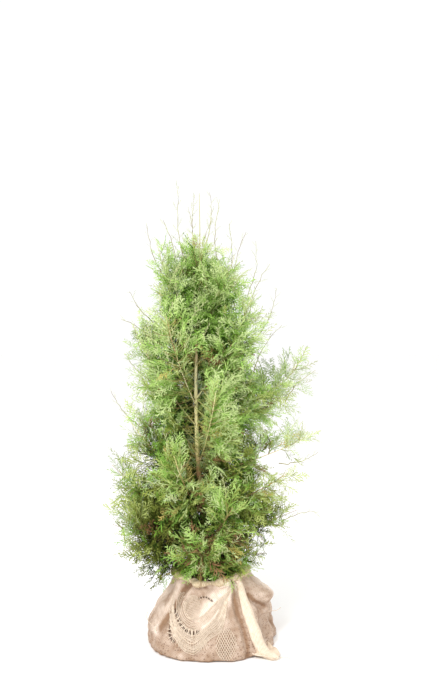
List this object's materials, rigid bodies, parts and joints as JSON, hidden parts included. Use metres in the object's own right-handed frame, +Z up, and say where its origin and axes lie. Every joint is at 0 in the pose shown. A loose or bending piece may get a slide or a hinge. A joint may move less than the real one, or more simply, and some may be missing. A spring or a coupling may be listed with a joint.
{
  "type": "root-balled thuja shrub",
  "caption": "Young evergreen thuja with one upright trunk and a loose column of feathery foliage, standing on a root ball wrapped in burlap.",
  "frame": {"origin": "centre of the wrapped root ball's flat underside, on the ground", "axes": "+Z up along the plant, -Y towards the side the plant is seen from, +X to that viewer's right"},
  "size_m": [0.6288, 0.443, 1.316],
  "materials": {
    "bark": "thin stringy bark, matt",
    "foliage": "flat sprays of scale leaves, satin",
    "burlap": "open woven jute, matt",
    "soil": "packed garden soil, matt"
  },
  "bodies": {
    "root": {"root_ball": "soil", "burlap_wrap": "burlap", "burlap_fold_right": "burlap", "burlap_fold_left": "burlap", "burlap_corner": "burlap", "trunk": "bark", "bough_low_left": "bark", "bough_low_front": "bark", "bough_low_right": "bark", "bough_low_back": "bark", "bough_skirt_left": "bark", "bough_skirt_back_left": "bark", "bough_skirt_front": "bark", "bough_skirt_right": "bark", "bough_skirt_back_right": "bark", "bough_mid_left": "bark", "bough_mid_front": "bark", "bough_mid_right": "bark", "bough_mid_back": "bark", "bough_waist_left": "bark", "bough_waist_right": "bark", "bough_waist_back_right": "bark", "bough_waist_front": "bark", "bough_waist_back_left": "bark", "bough_high_right": "bark", "bough_high_left": "bark", "bough_high_front": "bark", "bough_high_front_right": "bark", "bough_high_back": "bark", "bough_top_left": "bark", "bough_top_right": "bark", "bough_top_back": "bark", "foliage_leader": "foliage", "foliage_low_left": "foliage", "foliage_low_front": "foliage", "foliage_low_right": "foliage", "foliage_low_back": "foliage", "foliage_skirt_left": "foliage", "foliage_skirt_back_left": "foliage", "foliage_skirt_front": "foliage", "foliage_skirt_right": "foliage", "foliage_skirt_back_right": "foliage", "foliage_mid_left": "foliage", "foliage_mid_front": "foliage", "foliage_mid_right": "foliage", "foliage_mid_back": "foliage", "foliage_waist_left": "foliage", "foliage_waist_right": "foliage", "foliage_waist_back_right": "foliage", "foliage_waist_front": "foliage", "foliage_waist_back_left": "foliage", "foliage_high_right": "foliage", "foliage_high_left": "foliage", "foliage_high_front": "foliage", "foliage_high_front_right": "foliage", "foliage_high_back": "foliage", "foliage_top_left": "foliage", "foliage_top_right": "foliage", "foliage_top_back": "foliage"}
  },
  "joints": []
}
